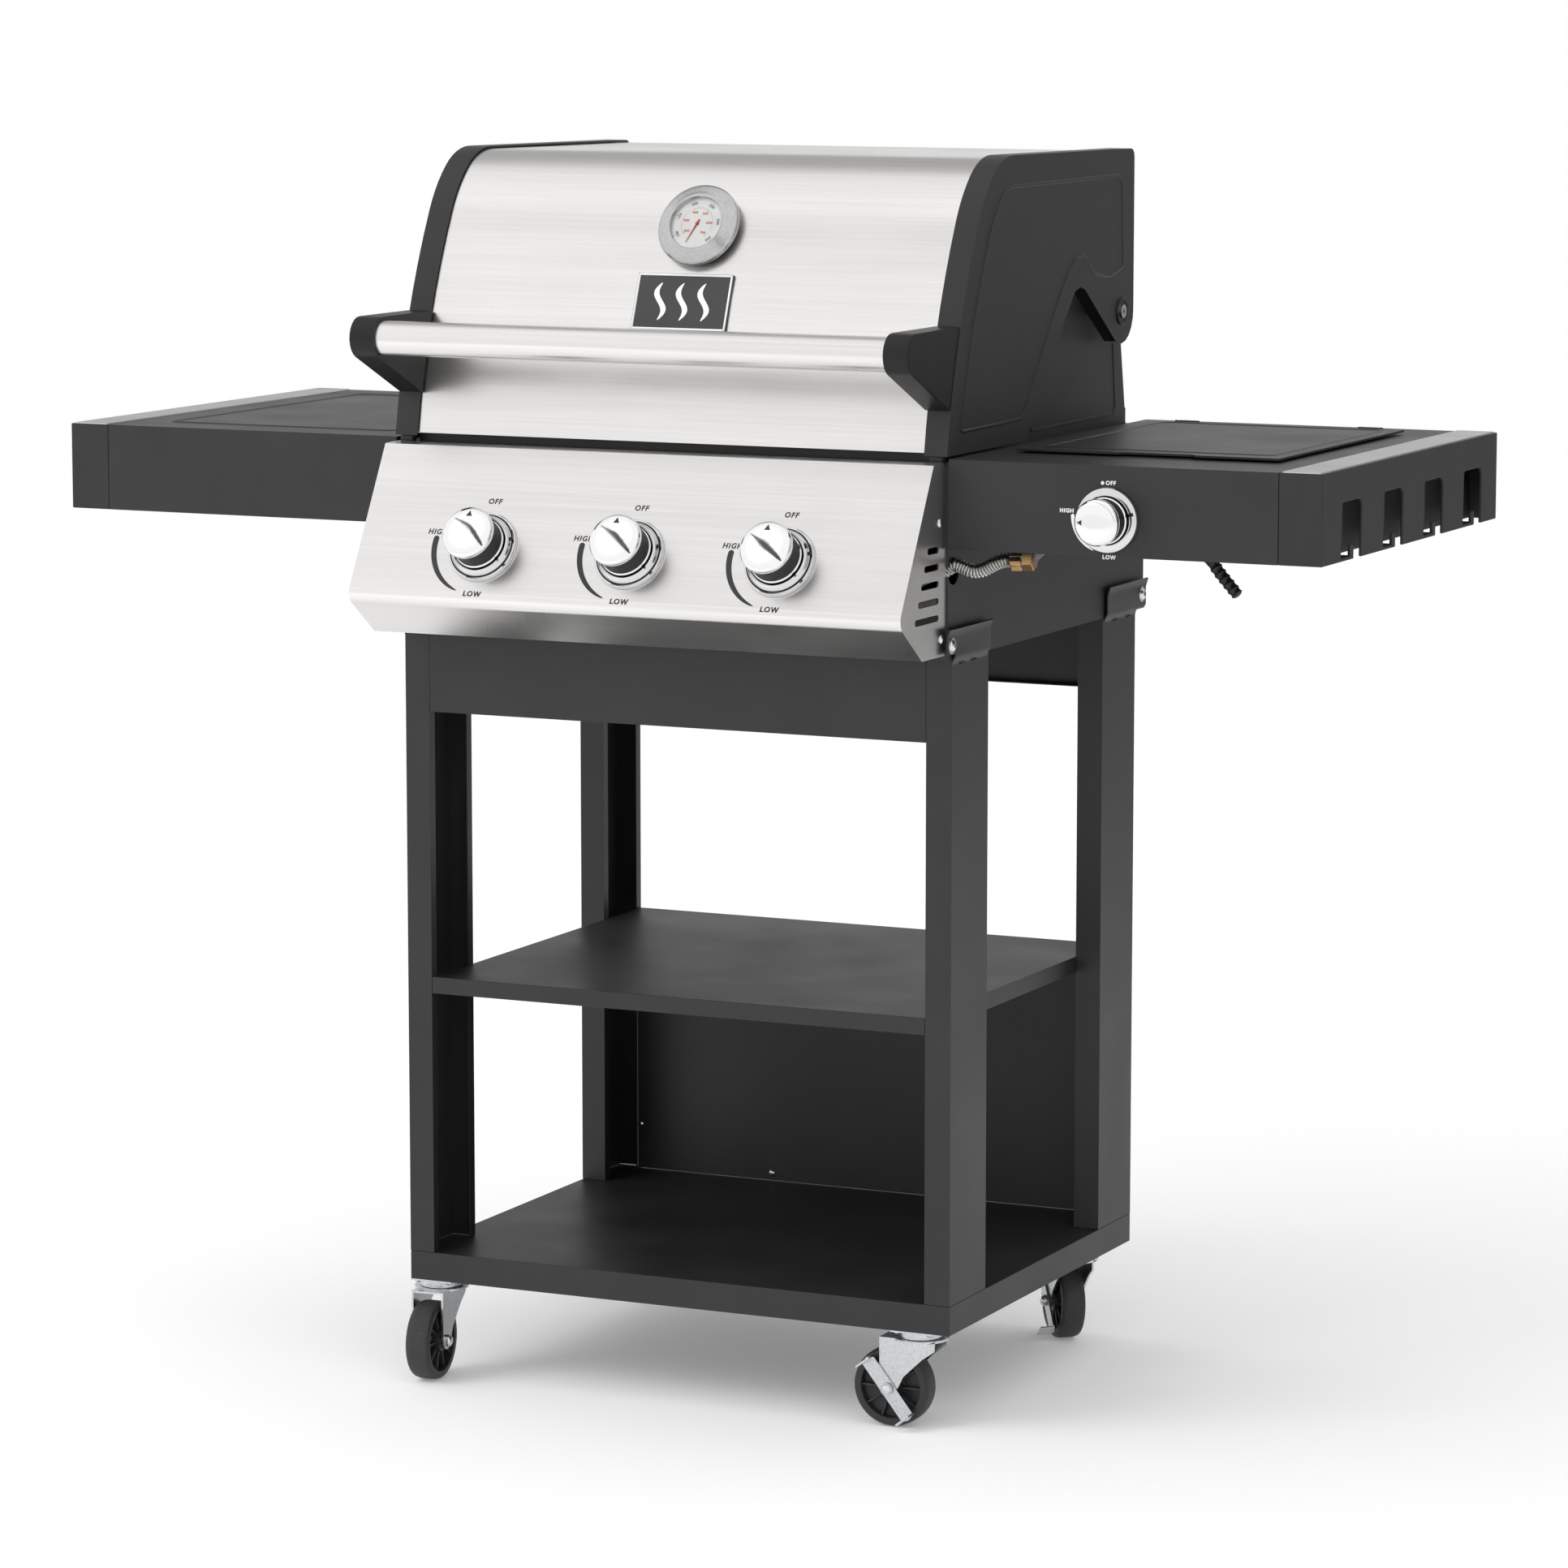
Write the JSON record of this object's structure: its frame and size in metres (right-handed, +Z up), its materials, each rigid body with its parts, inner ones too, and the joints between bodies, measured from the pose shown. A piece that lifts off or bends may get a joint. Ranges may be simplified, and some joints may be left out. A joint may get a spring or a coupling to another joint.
{
  "type": "gas barbecue grill",
  "caption": "Gas barbecue grill on an open wheeled cart, with a hinged hood, side shelves with tool slots, and a side burner under a lid.",
  "frame": {"origin": "on the floor, under the middle of the whole grill's footprint", "axes": "+X to the right of someone who faces the control panel, along the shelves; -Y towards that person; +Z up"},
  "size_m": [1.2712, 0.597, 1.166],
  "materials": {
    "bracket": "satin charcoal",
    "burner": "satin",
    "chrome": "polished",
    "end_cap": "moulded, charcoal",
    "hose_tail": "black",
    "iron": "matt black",
    "powder_coat": "charcoal textured powder coat",
    "stainless": "brushed stainless steel, grain along X",
    "wheel": "black",
    "zinc": "bright zinc plate"
  },
  "bodies": {
    "cart": {"base_tray": "powder_coat", "leg_front_left": "powder_coat", "leg_front_right": "powder_coat", "leg_rear_left": "powder_coat", "leg_rear_right": "powder_coat", "apron_front": "powder_coat", "apron_rear": "powder_coat", "mid_shelf": "powder_coat", "back_panel": "powder_coat", "caster_plate_front_left": "zinc", "caster_plate_front_right": "zinc", "caster_plate_rear_left": "zinc", "caster_plate_rear_right": "zinc", "firebox": "powder_coat", "control_panel": "stainless", "heat_plate": "burner", "cooking_grate": "iron", "warming_rack": "chrome", "burner_set": "burner", "gas_pipe": "stainless", "gas_hose_tail": "hose_tail", "shelf_left": "powder_coat", "shelf_right": "powder_coat", "end_cap_left": "end_cap", "end_cap_right": "end_cap", "hinge_pin_left": "zinc", "hinge_pin_right": "zinc", "side_burner": "burner", "side_burner_grate": "iron", "knob_bezel_left": "chrome", "knob_bezel_middle": "chrome", "knob_bezel_right": "chrome", "knob_bezel_side": "chrome"},
    "hood": {"hood_skin": "stainless", "hood_side_left": "powder_coat", "hood_side_right": "powder_coat", "handle_bar": "stainless", "handle_bracket_left": "bracket", "handle_bracket_right": "bracket", "thermometer": "stainless"},
    "side_lid": {"side_burner_lid": "powder_coat"},
    "grease_drawer": {"grease_tray": "zinc"},
    "stem_left": {"valve_stem_left": "zinc"},
    "dial_left": {"knob_left": "chrome"},
    "stem_middle": {"valve_stem_middle": "zinc"},
    "dial_middle": {"knob_middle": "chrome"},
    "stem_right": {"valve_stem_right": "zinc"},
    "dial_right": {"knob_right": "chrome"},
    "stem_side": {"valve_stem_side": "zinc"},
    "dial_side": {"knob_side": "chrome"},
    "fork_front_left": {"caster_fork_front_left": "zinc"},
    "wheel_front_left": {"caster_wheel_front_left": "wheel"},
    "fork_front_right": {"caster_fork_front_right": "zinc"},
    "wheel_front_right": {"caster_wheel_front_right": "wheel"},
    "brake_front_right": {"brake_lever_front_right": "zinc"},
    "fork_rear_left": {"caster_fork_rear_left": "zinc"},
    "wheel_rear_left": {"caster_wheel_rear_left": "wheel"},
    "fork_rear_right": {"caster_fork_rear_right": "zinc"},
    "wheel_rear_right": {"caster_wheel_rear_right": "wheel"},
    "brake_rear_right": {"brake_lever_rear_right": "zinc"}
  },
  "joints": [
    {"name": "hood_hinge", "type": "hinge", "parent": "cart", "child": "hood", "pos_m": [0, 0.23314, 1.0089], "axis": [-1, 0, 0], "range_deg": [0, 85]},
    {"name": "side_lid_hinge", "type": "hinge", "parent": "cart", "child": "side_lid", "pos_m": [0.4363, 0.24654, 0.906], "axis": [-1, 0, 0], "range_deg": [0, 95]},
    {"name": "grease_tray_slide", "type": "slide", "parent": "cart", "child": "grease_drawer", "axis": [0, 1, 0], "range_m": [0, 0.36]},
    {"name": "knob_push_left", "type": "slide", "parent": "cart", "child": "stem_left", "axis": [0, 0.8732, -0.4873], "range_m": [0, 0.004], "stiffness_N_per_m": 1500, "springref_m": -0.004},
    {"name": "knob_turn_left", "type": "hinge", "parent": "stem_left", "child": "dial_left", "pos_m": [-0.15, -0.2545, 0.8093], "axis": [0, -0.8732, 0.4873], "range_deg": [0, 180]},
    {"name": "knob_push_middle", "type": "slide", "parent": "cart", "child": "stem_middle", "axis": [0, 0.8732, -0.4873], "range_m": [0, 0.004], "stiffness_N_per_m": 1500, "springref_m": -0.004},
    {"name": "knob_turn_middle", "type": "hinge", "parent": "stem_middle", "child": "dial_middle", "pos_m": [0, -0.2545, 0.8093], "axis": [0, -0.8732, 0.4873], "range_deg": [0, 180]},
    {"name": "knob_push_right", "type": "slide", "parent": "cart", "child": "stem_right", "axis": [0, 0.8732, -0.4873], "range_m": [0, 0.004], "stiffness_N_per_m": 1500, "springref_m": -0.004},
    {"name": "knob_turn_right", "type": "hinge", "parent": "stem_right", "child": "dial_right", "pos_m": [0.15, -0.2545, 0.8093], "axis": [0, -0.8732, 0.4873], "range_deg": [0, 180]},
    {"name": "knob_push_side", "type": "slide", "parent": "cart", "child": "stem_side", "axis": [0, 1, 0], "range_m": [0, 0.004], "stiffness_N_per_m": 1500, "springref_m": -0.004},
    {"name": "knob_turn_side", "type": "hinge", "parent": "stem_side", "child": "dial_side", "pos_m": [0.4355, -0.17936, 0.8528], "axis": [0, -1, 0], "range_deg": [-90, 90]},
    {"name": "caster_swivel_front_left", "type": "hinge", "parent": "cart", "child": "fork_front_left", "pos_m": [-0.2613, -0.14056, 0.085], "axis": [0, 0, 1], "continuous": true},
    {"name": "wheel_spin_front_left", "type": "hinge", "parent": "fork_front_left", "child": "wheel_front_left", "pos_m": [-0.25903, -0.16646, 0.0375], "axis": [0.9962, 0.0872, 0], "continuous": true},
    {"name": "caster_swivel_front_right", "type": "hinge", "parent": "cart", "child": "fork_front_right", "pos_m": [0.24, -0.14056, 0.085], "axis": [0, 0, 1], "continuous": true},
    {"name": "wheel_spin_front_right", "type": "hinge", "parent": "fork_front_right", "child": "wheel_front_right", "pos_m": [0.214, -0.14102, 0.0375], "axis": [0.0175, -0.9998, 0], "continuous": true},
    {"name": "brake_press_front_right", "type": "hinge", "parent": "fork_front_right", "child": "brake_front_right", "pos_m": [0.214, -0.14102, 0.0375], "axis": [0.0175, -0.9998, 0], "range_deg": [0, 20]},
    {"name": "caster_swivel_rear_left", "type": "hinge", "parent": "cart", "child": "fork_rear_left", "pos_m": [-0.2613, 0.22444, 0.085], "axis": [0, 0, 1], "continuous": true},
    {"name": "wheel_spin_rear_left", "type": "hinge", "parent": "fork_rear_left", "child": "wheel_rear_left", "pos_m": [-0.2743, 0.24695, 0.0375], "axis": [-0.866, -0.5, 0], "continuous": true},
    {"name": "caster_swivel_rear_right", "type": "hinge", "parent": "cart", "child": "fork_rear_right", "pos_m": [0.24, 0.22444, 0.085], "axis": [0, 0, 1], "continuous": true},
    {"name": "wheel_spin_rear_right", "type": "hinge", "parent": "fork_rear_right", "child": "wheel_rear_right", "pos_m": [0.22329, 0.24435, 0.0375], "axis": [-0.766, -0.6428, 0], "continuous": true},
    {"name": "brake_press_rear_right", "type": "hinge", "parent": "fork_rear_right", "child": "brake_rear_right", "pos_m": [0.22329, 0.24435, 0.0375], "axis": [-0.766, -0.6428, 0], "range_deg": [0, 20]}
  ]
}
